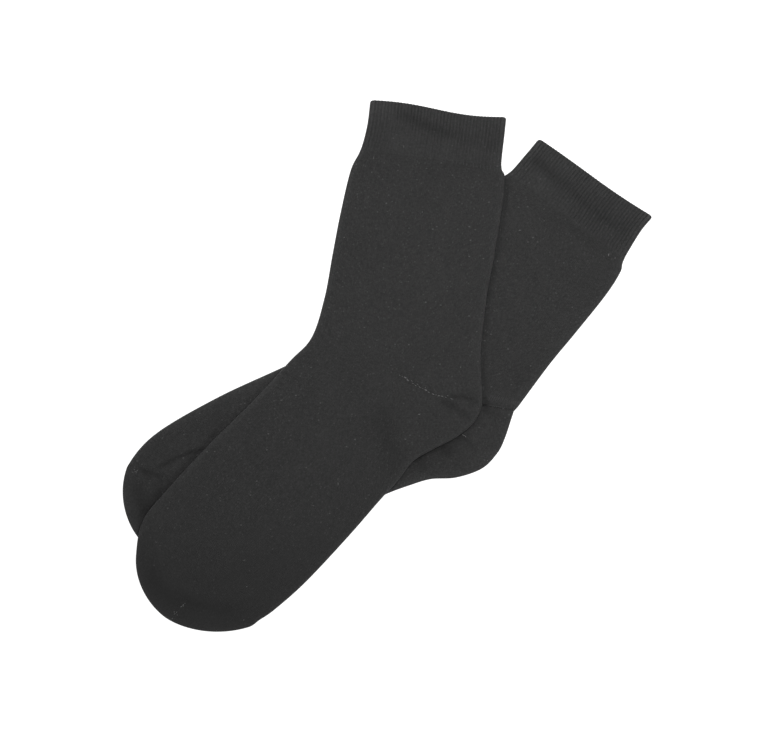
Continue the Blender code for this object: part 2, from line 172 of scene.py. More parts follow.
underSock = {
    "name": "under",
    "apex": (31.5, -20.0),
    "leg": [
        ("mouth", (95.1, 142.8), (166.9, 93.4), 0.0),
        ("weltFoot", (86.1, 131.9), (159.2, 83.8), 0.0),
        ("cuffFoot", (76.2, 121.0), (148.9, 66.6), 0.0),
        ("calf", (62.5, 112.5), (146.5, 58.5), 0.0),
        ("shin", (46.5, 87.5), (137.4, 44.2), 0.1),
        ("lowShin", (29.5, 67.5), (118.5, 20.6), 0.3),
        ("ankle", (11.5, 44.0), (102.0, 0.6), 0.6),
        ("heelTop", (-5.5, 27.5), (82.0, -26.3), 1.0),
    ],
    "heel": [(79.9, -28.2), (78.1, -33.3), (73.7, -46.4), (69.0, -55.5), (59.3, -65.1), (43.0, -70.7),
             (27.0, -71.7), (13.3, -75.8)],
    "foot": [
        ("heelSole", (-5.5, 27.5), (0.5, -80.5), 1.0),
        ("arch", (-25.5, 18.5), (-10.0, -86.0), 0.6),
        ("instep", (-64.5, -0.5), (-36.0, -100.5), 0.2),
        ("ball", (-107.5, -20.5), (-66.5, -115.0), 0.0),
        ("toeBase", (-146.2, -43.3), (-93.0, -124.5), 0.0),
        ("toeSeam", (-164.0, -64.0), (-109.0, -128.5), 0.0),
    ],
    "gore": 5,
    "skew": 3.0,
    "wave": 0.4,
    "bow": 0.9,
    "weltStep": 5.0,
    "ribEnd": 0.85,
    # painted highlight along the side folds, and how far in it reaches
    "foldHighlight": 0.24,
    "foldReach": 3.6,
    "flatRibs": [(92, 112, 14, 0.8), (108, 100, 10, 0.6), (148, 74, 12, 0.3)],
    "creases": [
        # the welt's dent, with painted shade in it
        (0.45, 3.0, -0.16, [(88, 131), (95, 127.5), (107, 116.5), (120, 105.5), (133, 94.5), (146, 87),
                            (156, 85)]),
        (0.20, 3.6, -0.06, [(100, 96), (112, 90), (124, 80), (136, 73)]),
        # the leg's end lies over the heel, with painted shade in its creases and painted light on the heel,
        # the leg's side and the ridge
        (0.15, 0.9, -0.06, [(54, -23), (61.5, -24.2), (70, -24.8), (80, -26)]),
        (0.20, 1.9, -0.22, [(60.5, -18), (62, -24), (60.5, -31)]),
        (0.00, 9.0, 0.10, [(44, -62), (54, -58), (62, -52), (69, -42), (72, -32)]),
        (0.00, 11.0, 0.05, [(134, 50), (112, 18), (96, -6)]),
        (-0.28, 2.2, 0.19, [(56, -17), (64, -19.6), (72, -21.8), (79, -23.4), (86, -25)]),
        # pressed down beside the upper sock, with painted shadow along its edge and painted light a little
        # way out
        (0.15, 1.6, -0.18, [(75.4, 124), (73.6, 99), (68.5, 69), (63.4, 43.5), (60.3, 14), (60.5, -12),
                            (61.2, -24)]),
        (0.00, 2.6, -0.05, [(62, -14), (61.5, -26), (54.8, -39), (43.6, -49), (29.6, -57), (17, -64.5),
                            (9, -74)]),
        (0.00, 4.0, 0.08, [(-64, 2), (-76, -7), (-91, -20), (-106, -33)]),
        (0.10, 1.3, -0.18, [(-104, -38), (-113, -47.8), (-126, -62.5), (-140, -78.4), (-152, -94)]),
        (0.35, 4.4, -0.18, [(-136, -70), (-145, -80), (-151, -91), (-156, -103)]),
        (0.40, 1.6, -0.18, [(44, -42), (49, -47), (54, -52.5), (58, -56)]),
        (0.25, 2.6, -0.18, [(33, -49), (37, -54), (40, -59)]),
        (0.25, 2.8, -0.16, [(17, -58), (21, -62.5), (24, -69)]),
        (0.40, 6.0, -0.14, [(10, -52), (24, -56), (40, -50), (52, -40)]),
        (0.30, 2.6, -0.12, [(62, -26), (66, -30), (72, -33)]),
        # the toe, with painted shadow beside the upper sock's edge and painted shade in its creases
        (0.40, 1.3, -0.34, [(-159, -63.5), (-152, -67), (-146, -68.8), (-138, -71)]),
        (0.50, 1.1, -0.40, [(-146, -65.5), (-140, -62), (-133, -58.6), (-124, -54.8), (-112, -51.5)]),
        (0.45, 3.6, -0.18, [(-155, -70), (-156, -80), (-154, -90), (-150, -98)]),
        (0.25, 5.0, -0.06, [(-128, -42), (-112, -36), (-98, -30)]),
    ],
    "hiddenCreases": [         # in the lower layer, with painted shade in its creases
        (0.30, 3.4, -0.10, [(40, -30), (54, -44), (66, -52)]),
        (0.30, 4.2, -0.08, [(-150, -70), (-148, -92), (-132, -112)]),
        (0.25, 4.0, -0.06, [(88, 128), (116, 106), (150, 86)]),
    ],
    "swells": [
        (0.9, 18.0, (116, 48)), (0.6, 12.0, (132, 76)), (0.5, 9.0, (66, -48)),
    ],
    "seed": 8,
}


def eased(share):
    share = np.clip(share, 0.0, 1.0)
    return share * share * (3 - 2 * share)


def rounded(share):      # a quarter round: 0 at the outline, 1 where the fold ends
    return np.sqrt(1 - (1 - np.clip(share, 0.0, 1.0)) ** 2)


def smoothEdge(points, beyond=None):
    # a curve through plan points: edge(2.5) is halfway from the third to the fourth
    spots = np.array(points, float) * mm
    after = 2 * spots[-1] - spots[-2] if beyond is None else beyond
    spots = np.vstack((2 * spots[0] - spots[1], spots, after))

    def edge(at):
        at = np.asarray(at, float)
        first = np.clip(at.astype(int), 0, len(points) - 2)
        t = (at - first)[..., None]
        a, b, c, d = (spots[first + k] for k in range(4))
        bend = (2 * a - 5 * b + 4 * c - d) * t + (3 * b - a - 3 * c + d) * t * t
        return b + 0.5 * t * (c - a + bend)

    return edge


def nearest(path, spots, closed=False):
    # for each plan point: its distance to a line, the way across that line, and how far along it is
    start, end = path, np.roll(path, -1, axis=0)
    if not closed:
        start, end = start[:-1], end[:-1]
    run = end - start
    squared = np.maximum((run * run).sum(1), 1e-14)
    away, along = np.empty(len(spots)), np.empty(len(spots))
    for first in range(0, len(spots), atOnce):
        part = spots[first:first + atOnce, None] - start
        share = np.clip((part * run).sum(2) / squared, 0.0, 1.0)
        off = part - run * share[..., None]
        gap = (off * off).sum(2)
        best = gap.argmin(1)
        here = np.arange(len(best))
        away[first:first + atOnce] = np.sqrt(gap[here, best])
        along[first:first + atOnce] = best + share[here, best]
    across = np.stack((run[:, 1], -run[:, 0]), 1) / np.sqrt(squared)[:, None]
    index = np.minimum(along.astype(int), len(run) - 1)
    return away, across[index], along / len(run)


def insideOf(path, spots):
    after = np.roll(path, -1, axis=0)
    result = np.zeros(len(spots), bool)
    for a, b in zip(path, after):
        spans = (a[1] > spots[:, 1]) != (b[1] > spots[:, 1])
        if spans.any():
            crossing = a[0] + (spots[:, 1] - a[1]) * (b[0] - a[0]) / (b[1] - a[1] or 1.0)
            result ^= spans & (spots[:, 0] < crossing)
    return result


def evenPlaces(first, sizes, step):
    # places along sections that are this far apart, with more between them where that is a long way
    result = []
    for row, size in enumerate(sizes, first):
        bands = max(1, round(size / step))
        result += [row + k / bands for k in range(bands)]
    return np.array(result + [first + len(sizes)], float)


class SockPlan:          # one sock's outline and sections, seen from above
    def __init__(self, values, below=None):
        self.values, self.below = values, below
        self.apex = np.array(values["apex"]) * mm
        self.leg, self.foot = values["leg"], values["foot"]
        self.legEnd = len(self.leg) - 1
        self.heelEnd = self.legEnd + len(values["heel"]) + 1
        self.capFront, self.capBack = (np.array(p) * mm for p in self.foot[-1][1:3])
        fronts = [row[1] for row in self.leg] + [row[1] for row in self.foot[1:]]
        backs = [row[2] for row in self.leg] + values["heel"] + [row[2] for row in self.foot]
        roundFront, _, roundBack = self.capSection([lying["capStart"]])
        self.front = smoothEdge(fronts, roundFront[0])
        self.back = smoothEdge(backs, roundBack[0])
        fine = 24
        cap = self.capSection(np.sin(np.arange(1, fine + 1) * math.pi / 2 / fine))
        down = self.front(np.arange((len(fronts) - 1) * fine + 1) / fine)
        up = self.back(np.arange((len(backs) - 1) * fine + 1) / fine)
        self.outline = np.vstack((down, cap[0], cap[2][-2::-1], up[::-1]))
        front, back = self.front(0.0), self.back(0.0)
        self.mouthWidth = np.linalg.norm(back - front)
        self.mouthFront = front
        self.mouthAcross = (back - front) / self.mouthWidth
        self.mouthDown = np.array((self.mouthAcross[1], -self.mouthAcross[0]))

    def capSection(self, depth, within=0.0):
        across = (self.capBack - self.capFront) / 2
        half = np.linalg.norm(across)
        across = across / half
        sag = lying["capSag"]
        radius = (half * half + sag * sag) / (2 * sag)
        deep = np.asarray(depth, float)[:, None] * (sag - within)
        reach = np.sqrt(np.maximum((radius - within) ** 2 - (radius - sag + deep) ** 2, 0.0))
        reach = half * (reach / half) ** lying["capPoint"]
        outward = np.array((across[1], -across[0]))
        lean = outward - across * self.values["skew"] * mm / sag
        middle = (self.capFront + self.capBack) / 2 + lean * deep
        return middle - across * reach, middle, middle + across * reach

    def sections(self, table, at):
        if table == "cap":
            front, middle, back = self.capSection(at)
            return front, middle, back, np.zeros(len(at))
        rows = self.leg if table == "leg" else self.foot
        pull = np.interp(at, range(len(rows)), [row[3] for row in rows])[:, None]
        shifts = (0, 0) if table == "leg" else (self.legEnd, self.heelEnd)
        front, back = self.front(at + shifts[0]), self.back(at + shifts[1])
        return front, (front + back) / 2 * (1 - pull) + self.apex * pull, back, pull[:, 0]

    def places(self, table, first, last, step):
        rows = self.leg if table == "leg" else self.foot
        sizes = [max(math.dist(rows[row + 1][side], rows[row][side]) for side in (1, 2)) * mm
                 for row in range(first, last)]
        return evenPlaces(first, sizes, step)

    def lift(self, spots):        # how far the sock is raised by the one that it lies on
        if self.below is None:
            return np.zeros(len(spots))
        out = nearest(self.below.outline, spots, closed=True)[0]
        out[insideOf(self.below.outline, spots)] = 0.0
        share = (out - lying["hold"]) / (lying["land"] - lying["hold"])
        height = 2 * lying["wall"] + lying["hollow"] + lying["socksApart"]
        return height * (1 - eased(share))

    def mouth(self, spots):       # how far the upper layer stands off near the open end
        along = (spots - self.mouthFront) @ self.mouthDown / lying["mouthReach"]
        place = (spots - self.mouthFront) @ self.mouthAcross / self.mouthWidth
        bow = np.sin(math.pi * np.clip(place, 0.0, 1.0))
        return lying["mouthLift"] * bow * (1 - eased(along))

    def mouthRise(self, spots):   # how far the mouth's edge rises above a straight line
        place = np.clip((spots - self.mouthFront) @ self.mouthAcross, 0.0, self.mouthWidth)
        share = place / self.mouthWidth * math.pi
        rise = self.values["wave"] * mm * np.sin(2 * share) - self.values["bow"] * mm * np.sin(share)
        corner = lying["mouthCorner"]
        inset = np.maximum(corner - np.minimum(place, self.mouthWidth - place), 0.0)
        return (rise - corner + np.sqrt(corner ** 2 - inset ** 2))[..., None]

    def relief(self, spots, side):    # creases and swells of one layer, and the painted light and shade that go with them
        height, tone = np.zeros(len(spots)), np.zeros(len(spots))
        for depth, width, paintedTone, points in self.values["creases" if side > 0 else "hiddenCreases"]:
            steps = lying["creaseSteps"] * len(points)
            line = smoothEdge(points)(np.linspace(0, len(points) - 1, steps))
            reach = 3 * width * mm
            near = ((spots > line.min(0) - reach) & (spots < line.max(0) + reach)).all(1)
            if not near.any():
                continue
            away, _, along = nearest(line, spots[near])
            across = (away / (width * mm)) ** 2
            length = np.linalg.norm(np.diff(line, axis=0), axis=1).sum()
            fading = min(lying["creaseFade"], lying["creaseEnd"] * width * mm / length)
            ends = eased(along / fading) * eased((1 - along) / fading)
            height[near] -= depth * mm * (1 - 0.5 * across) * np.exp(-across) * ends
            # painted shade along the crease's line, and painted light where its tone is above nothing
            tone[near] += paintedTone * np.exp(-lying["creaseTone"] * across) * ends
        for rise, reach, middle in self.values["swells"] if side > 0 else ():
            across = ((spots / mm - middle) ** 2).sum(1) / reach ** 2
            height += rise * mm * np.exp(-across)
        random = np.random.default_rng(self.values["seed"])
        for _ in range(lying["waves"]):
            turn = random.uniform(0, 2 * math.pi)
            length = random.uniform(*lying["waveLengths"]) * mm
            phase = random.uniform(0, 2 * math.pi) + (0.0 if side > 0 else 1.9)
            direction = np.array((math.cos(turn), math.sin(turn))) * 2 * math.pi / length
            height += lying["waveHeight"] * np.sin(spots @ direction + phase)
        return height, tone

    def crest(self, spots):       # height of the upper layer's outer face
        turned = rounded(nearest(self.outline, spots)[0] / lying["fold"])
        flat = (lying["wall"] + lying["hollow"] / 2) * (1 + turned)
        return flat + self.lift(spots) + self.mouth(spots) + self.relief(spots, 1)[0] * turned


def halfWidth(middle, edge):
    # from a fold to the middle of its panel, and never nothing
    return np.maximum(np.linalg.norm(middle - edge, axis=1), lying["least"])[:, None]


def columnPlaces(front, middle, back, pull, half):
    # plan points of each row, from the front fold to the back fold, even along the cloth
    shares = []
    for edge in (front, back):
        length = halfWidth(middle, edge)
        reach = np.minimum(lying["fold"], lying["foldShare"] * length)
        arc = lying["foldArc"] * reach
        run = np.arange(half + 1) / half * (arc + length - reach)
        turned = reach * (1 - np.cos(np.minimum(run / arc, 1.0) * math.pi / 2))
        shares.append(np.where(run < arc, turned, reach + run - arc) / length)
    frontShare, backShare = (share[..., None] for share in shares)
    f, m, b = front[:, None], middle[:, None], back[:, None]
    bent = np.concatenate((f + (m - f) * frontShare, (b + (m - b) * backShare)[:, -2::-1]), 1)
    t = np.concatenate((frontShare / 2, 1 - backShare[:, -2::-1] / 2), 1)
    drawn = 2 * m - (f + b) / 2
    curved = (1 - t) ** 2 * f + 2 * t * (1 - t) * drawn + t * t * b
    keep = (pull ** 3)[:, None, None]     # rows at the heel bend at its point, and the others curve
    result = bent * keep + curved * (1 - keep)
    result[:, 0], result[:, half], result[:, -1] = front, middle, back
    return result


def innerSection(plan, section, wall):
    # the inner faces' folds, as far in as leaves the wall its thickness
    front, middle, back, pull = section
    ends = []
    for edge in (front, back):
        length = halfWidth(middle, edge)
        step = np.minimum(wall / length, lying["innerProbe"])
        off = nearest(plan.outline, edge + (middle - edge) * step)[0][:, None]
        slant = np.maximum(off, 0.2 * mm) / (step * length)
        ends.append(edge + (middle - edge) * np.minimum(step / slant, lying["innerFold"]))
    return ends[0], middle, ends[1], pull


def layer(plan, outer, inner, side, wall, grooves=0.0):
    # both faces of one layer of the flattened tube: points, points, and a tone of painted light and shade
    rows, columns = outer.shape[:2]
    edge = np.zeros((rows, columns), bool)
    edge[:, 0] = edge[:, -1] = True
    edge = edge.ravel()
    wall = np.broadcast_to(np.asarray(wall, float).reshape(-1, 1), (rows, columns)).ravel()
    spots, within = outer.reshape(-1, 2), inner.reshape(-1, 2)
    middle = wall + lying["hollow"] / 2
    away, outward, _ = nearest(plan.outline, spots)
    away[edge | (away < 1e-7)] = 0.0
    turned = rounded(away / lying["fold"])
    level = 1 - np.clip(away / lying["fold"], 0.0, 1.0)
    base, baseWithin = plan.lift(spots), plan.lift(within)
    if side > 0:
        base += plan.mouth(spots) * (away > 0)
        baseWithin += plan.mouth(within) * ~edge
    height, tone = plan.relief(spots, side)
    height = height * turned
    # painted highlight along the side folds
    near = away / (plan.values["foldReach"] * mm)
    tone = tone * turned + plan.values["foldHighlight"] * np.exp(-near ** 2)
    normal = np.column_stack((outward * (level / lying["fold"])[:, None], side * turned / middle))
    normal /= np.linalg.norm(normal, axis=1)[:, None]
    face = np.column_stack((spots, middle * (1 + side * turned) + base))
    grooves = np.asarray(grooves).ravel()
    face += normal * (height - ribbing["depth"] * grooves)[:, None]
    face[:, 2] = np.maximum(face[:, 2], 0.0)
    off = nearest(plan.outline, within)[0]
    share = np.where(edge, 0.0, np.maximum((off - wall) / (lying["fold"] - wall), 0.05))
    sunk = np.where(height > 0, height, lying["creaseInside"] * height) * side
    lining = middle + side * lying["hollow"] / 2 * rounded(share) + baseWithin + sunk * (share > 0)
    # painted shade in the rib grooves
    return (face.reshape(rows, columns, 3), np.column_stack((within, lining)).reshape(rows, columns, 3),
            (tone + ribbing["tone"] * grooves).reshape(rows, columns))


def tube(plan, table, at, wall, half, shaped=False, grooves=None):
    # both faces of a whole tube: front fold, upper layer, back fold, lower layer
    section = plan.sections(table, at)
    outer = columnPlaces(*section, half)
    if table == "cap":
        inner = columnPlaces(*plan.capSection(at, lying["wall"]), section[3], half)
    else:
        inner = columnPlaces(*innerSection(plan, section, np.asarray(wall).reshape(-1, 1)), half)
    if shaped:
        fading = np.maximum(0.0, 1 - at)[:, None, None]
        outer, inner = (row - plan.mouthRise(row) * fading * plan.mouthDown for row in (outer, inner))
    parts = []
    for side in (1, -1):
        cut = 0.0
        if grooves is not None:
            cut = grooves[:, :2 * half + 1]
            if side < 0:
                cut = np.concatenate((cut[:, :1], grooves[:, :2 * half - 1:-1]), 1)
        parts.append(layer(plan, outer, inner, side, wall, cut))
    upper, lower = parts
    return [np.concatenate((a, b[:, -2:0:-1]), 1) for a, b in zip(upper, lower)]


def gridCorners(values, closed):
    # the four corners of every cell of a grid, anticlockwise seen from outside
    if closed:
        values = np.concatenate((values, values[:, :1]), 1)
    cells = (values[:-1, :-1], values[1:, :-1], values[1:, 1:], values[:-1, 1:])
    return np.stack(cells, 2).reshape(-1, 4, *values.shape[2:])


def makeMesh(name, points, faces, uvs, tones, seam, material):
    # faces: rows of four corners, of which two may be the same point
    same = faces == np.roll(faces, -1, axis=1)
    whole = ~same.any(1)
    shapes, corners = faces[whole].tolist(), [uvs[whole].reshape(-1, 2)]
    for face, uv, twin in zip(faces[~whole], uvs[~whole], same[~whole]):
        if twin.sum() == 1:
            shapes.append(face[~twin].tolist())
            corners.append(uv[~twin])
    mesh = bpy.data.meshes.new(name)
    mesh.from_pydata(points, [], shapes)
    mesh.uv_layers.new(name="knit").data.foreach_set("uv", np.concatenate(corners).ravel())
    # the tone: painted light and shade of creases, folds and rib grooves, and the welt's lighter edge
    mesh.attributes.new("tone", "FLOAT", "POINT").data.foreach_set("value", tones)
    ends = np.empty(len(mesh.edges) * 2, int)
    mesh.edges.foreach_get("vertices", ends)
    sharp = seam[ends.reshape(-1, 2)].all(1)
    mesh.shade_smooth()
    mesh.attributes.new("sharp_edge", "BOOLEAN", "EDGE").data.foreach_set("value", sharp)
    mesh.materials.append(material)
    piece = bpy.data.objects.new(name, mesh)
    bpy.context.scene.collection.objects.link(piece)
    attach(piece, "root")
    print(name, len(mesh.polygons), "faces")
    return piece


def knitPiece(name, blocks, material):
    # a wall of cloth from blocks of (outer, inner, tone, uv, closed), joined where they meet
    outer = np.concatenate([b[0].reshape(-1, 3) for b in blocks])
    inner = np.concatenate([b[1].reshape(-1, 3) for b in blocks])
    tone = np.concatenate([b[2].ravel() for b in blocks])
    faces, uvs, start = [], [], 0
    for block in blocks:
        rows, columns = block[2].shape
        index = np.arange(start, start + rows * columns).reshape(rows, columns)
        faces.append(gridCorners(index, block[4]))
        uvs.append(gridCorners(block[3], False))
        start += rows * columns
    faces, uvs = np.concatenate(faces), np.concatenate(uvs)
    _, kept, new = np.unique(np.round(outer / 1e-7).astype(np.int64), axis=0,
                             return_index=True, return_inverse=True)
    outer, inner, tone, faces = outer[kept], inner[kept], tone[kept], new.ravel()[faces]
    count = len(kept)
    a, b = faces.ravel(), np.roll(faces, -1, axis=1).ravel()
    uvA, uvB = uvs.reshape(-1, 2), np.roll(uvs, -1, axis=1).reshape(-1, 2)
    bare = ~np.isin(a * count + b, b * count + a) & (a != b)
    a, b, uvA, uvB = a[bare], b[bare], uvA[bare], uvB[bare]
    rims = np.column_stack((b, a, a + count, b + count))
    rimUvs = np.stack((uvB, uvA, uvA, uvB), 1)
    seam = np.zeros(2 * count, bool)
    seam[rims.ravel()] = True
    allFaces = np.concatenate((faces, faces[:, ::-1] + count, rims))
    allUvs = np.concatenate((uvs, uvs[:, ::-1], rimUvs))
    return makeMesh(name, np.concatenate((outer, inner)), allFaces, allUvs,
                    np.concatenate((tone, tone)), seam, material)


def ringUvs(v, columns):
    # wales round the tube and courses down it, in metres
    u = np.arange(columns + 1) / columns * lying["wales"] * lying["wale"]
    return np.stack(np.broadcast_arrays(u[None, :], v[:, None]), -1)


def levelUvs(face, way):
    # wales and courses as seen from above, with the wales side by side this way
    flat = face[..., :2]
    return np.stack((flat @ way, flat @ np.array((-way[1], way[0]))), -1)


def courseLengths(plan, table, at, start=0.0):
    front, middle, _, _ = plan.sections(table, at)
    steps = sum(np.linalg.norm(np.diff(edge, axis=0), axis=1) for edge in (front, middle)) / 2
    return start + np.concatenate(((0.0,), np.cumsum(steps)))


print("plans")
underPlan = SockPlan(underSock)
topPlan = SockPlan(topSock, below=underPlan)


# Materials: one yarn, knitted as rib or plain. Each way of knitting has its colour, darker from cuff to
# toe as painted shade and, in the rib, raised to make up for the painted shade in its grooves; the depth
# of its loops, how much painted shade the gaps between loops get, how many light fibres show, and the
# change in the dye from loop to loop. Fibres: turn, stretch, size of the cell that holds one, share of
# cells that have one, its size as a share of the cell, and how bright it is.
yarn = {
    "ribKnit": {"colour": 0.0352, "loopDepth": 0.10 * mm, "loopTone": 0.10, "flecks": 0.45, "grain": 0.55},
    "plainKnit": {"colour": 0.0320, "loopDepth": 0.16 * mm, "loopTone": 0.16, "flecks": 1.0, "grain": 0.60},
    "heelKnit": {"colour": 0.0318, "loopDepth": 0.16 * mm, "loopTone": 0.16, "flecks": 0.8, "grain": 0.60},
    "toeKnit": {"colour": 0.0312, "loopDepth": 0.12 * mm, "loopTone": 0.10, "flecks": 0.5, "grain": 0.50},
    "course": 0.86 * mm,
    "slant": 0.8,             # how far a strand climbs from mid-loop to its side, in courses
    "cloud": 0.16,            # slow change in the dye, part of the colour
    "cloudScale": 60.0,       # clouds and grains to a metre
    "grainScale": 1100.0,
    "eachLoop": 0.4,          # change from loop to loop, beside the grain's
    "grainRise": 0.6,         # how far the grains stand up, beside the loops
    "smoothFrom": -85 * mm,   # from here on, the upper sock's foot is worn smoother, and darker with painted shade
    "smoothTo": -135 * mm,
    "smoothLeft": 0.5,        # share of the grain that is left there
    # painted shade at the toe end
    "toeShade": -0.11,
    "gapEven": 0.45,          # loops are that much lighter, for each gap's painted shade
    "fibres": [               # many faint ones, and fewer that stand out
        (0.5, (1.0, 0.7, 1.0), 1.6 * mm, 0.60, 0.34, 1.0),
        (-0.9, (0.7, 1.0, 1.0), 2.9 * mm, 0.45, 0.19, 2.6),
    ],
    "finish": {"Roughness": 0.95, "Specular IOR Level": 0.15, "Sheen Weight": 0.10, "Sheen Roughness": 0.5},
}


def nodeLink(tree, node, socket, value):
    if isinstance(value, bpy.types.NodeSocket):
        tree.links.new(value, node.inputs[socket])
    elif value is not None:
        node.inputs[socket].default_value = value


def maths(tree, operation, first, second=None, third=None):
    node = tree.nodes.new("ShaderNodeMath")
    node.operation = operation
    for socket, value in enumerate((first, second, third)):
        nodeLink(tree, node, socket, value)
    return node.outputs[0]


def newGroup(name, inputs, outputs):
    group = bpy.data.node_groups.new(name, "ShaderNodeTree")
    for socket, kind, value in inputs:
        made = group.interface.new_socket(socket, in_out="INPUT", socket_type=kind)
        if value is not None:
            made.default_value = value
    for socket in outputs:
        group.interface.new_socket(socket, in_out="OUTPUT", socket_type="NodeSocketFloat")
    return group, group.nodes.new("NodeGroupInput").outputs, group.nodes.new("NodeGroupOutput").inputs


def knitLoopsGroup():
    # stockinette: each loop is a V of two slanting strands, in columns with a groove between them
    group, given, out = newGroup("knitLoops", [
        ("Place", "NodeSocketVector", None), ("Wale", "NodeSocketFloat", lying["wale"]),
        ("Course", "NodeSocketFloat", yarn["course"])], ["Height", "Groove", "Each"])
    split = group.nodes.new("ShaderNodeSeparateXYZ")
    group.links.new(given["Place"], split.inputs[0])
    column = maths(group, "DIVIDE", split.outputs[0], given["Wale"])
    row = maths(group, "DIVIDE", split.outputs[1], given["Course"])
    across = maths(group, "ABSOLUTE", maths(group, "SUBTRACT", maths(group, "FRACT", column), 0.5))
    across = maths(group, "MULTIPLY", across, 2.0)      # 0 mid-column, 1 at its edge
    slanted = maths(group, "ADD", row, maths(group, "MULTIPLY", across, yarn["slant"]))
    strand = maths(group, "MULTIPLY_ADD", maths(group, "FRACT", slanted), 2.0, -1.0)
    strand = maths(group, "SUBTRACT", 1.0, maths(group, "MULTIPLY", strand, strand))
    crown = maths(group, "SUBTRACT", 1.0, maths(group, "POWER", across, 3.0))
    pinch = maths(group, "MULTIPLY_ADD", maths(group, "SQRT", across), 0.25, 0.75)
    height = maths(group, "MULTIPLY", maths(group, "MULTIPLY", crown, pinch),
                   maths(group, "MULTIPLY_ADD", strand, 0.65, 0.35))
    loop = group.nodes.new("ShaderNodeCombineXYZ")
    for socket, value in enumerate((column, slanted)):
        group.links.new(maths(group, "FLOOR", value), loop.inputs[socket])
    chance = group.nodes.new("ShaderNodeTexWhiteNoise")
    group.links.new(loop.outputs[0], chance.inputs["Vector"])
    group.links.new(height, out["Height"])
    group.links.new(maths(group, "SUBTRACT", 1.0, height), out["Groove"])
    group.links.new(chance.outputs["Value"], out["Each"])
    return group


def flecksGroup():
    # short light fibres that stand out of the yarn here and there
    group, given, out = newGroup("flecks", [
        ("Place", "NodeSocketVector", None), ("Cell", "NodeSocketFloat", 0.002),
        ("Share", "NodeSocketFloat", 0.3), ("Radius", "NodeSocketFloat", 0.2)], ["Mask"])
    cells = group.nodes.new("ShaderNodeTexVoronoi")
    group.links.new(given["Place"], cells.inputs["Vector"])
    group.links.new(maths(group, "DIVIDE", 1.0, given["Cell"]), cells.inputs["Scale"])
    chance = group.nodes.new("ShaderNodeSeparateColor")
    group.links.new(cells.outputs["Color"], chance.inputs[0])
    chosen = maths(group, "LESS_THAN", chance.outputs[0], given["Share"])
    near = maths(group, "DIVIDE", cells.outputs["Distance"], given["Radius"])
    spot = maths(group, "MAXIMUM", maths(group, "SUBTRACT", 1.0, near), 0.0)
    strength = maths(group, "MULTIPLY_ADD", maths(group, "POWER", chance.outputs[1], 2.0), 0.8, 0.2)
    mask = maths(group, "MULTIPLY", maths(group, "MULTIPLY", spot, chosen), strength)
    group.links.new(mask, out["Mask"])
    return group


def mottleGroup():
    # uneven take-up of the dye, in clouds and in grains, each from -0.5 to 0.5
    group, given, out = newGroup("mottle", [
        ("Place", "NodeSocketVector", None), ("CloudScale", "NodeSocketFloat", yarn["cloudScale"]),
        ("GrainScale", "NodeSocketFloat", yarn["grainScale"])], ["Cloud", "Grain"])
    for name, detail in (("Cloud", 3.0), ("Grain", 1.0)):
        noise = group.nodes.new("ShaderNodeTexNoise")
        noise.inputs["Detail"].default_value = detail
        group.links.new(given["Place"], noise.inputs["Vector"])
        group.links.new(given[name + "Scale"], noise.inputs["Scale"])
        group.links.new(maths(group, "SUBTRACT", noise.outputs["Fac"], 0.5), out[name])
    return group


groups = {"knit": knitLoopsGroup(), "flecks": flecksGroup(), "mottle": mottleGroup()}


def setInputs(node, values):
    for socket, value in values.items():
        node.inputs[socket].default_value = value


def placeGroup(tree, name, **values):
    node = tree.nodes.new("ShaderNodeGroup")
    node.node_tree = groups[name]
    for socket, value in values.items():
        nodeLink(tree, node, socket, value)
    return node.outputs


def varied(tree, tone, value, slope, level):
    # the tone, times a value that runs by this slope from this level
    return maths(tree, "MULTIPLY", tone, maths(tree, "MULTIPLY_ADD", value, slope, level))


def toned(tree, tone, colour):
    # a grey of this brightness, times the tone that changes over the cloth
    product = tree.nodes.new("ShaderNodeMix")
    product.data_type = "RGBA"
    product.blend_type = "MULTIPLY"
    product.inputs["Factor"].default_value = 1.0
    product.inputs[6].default_value = (colour, colour, colour, 1.0)
    tree.links.new(tone, product.inputs[7])
    tree.links.new(product.outputs[2], tree.nodes["Principled BSDF"].inputs["Base Color"])


def newMaterial(name):
    material = bpy.data.materials.new(name)
    material.use_nodes = True
    tree = material.node_tree
    return material, tree, tree.nodes["Principled BSDF"]


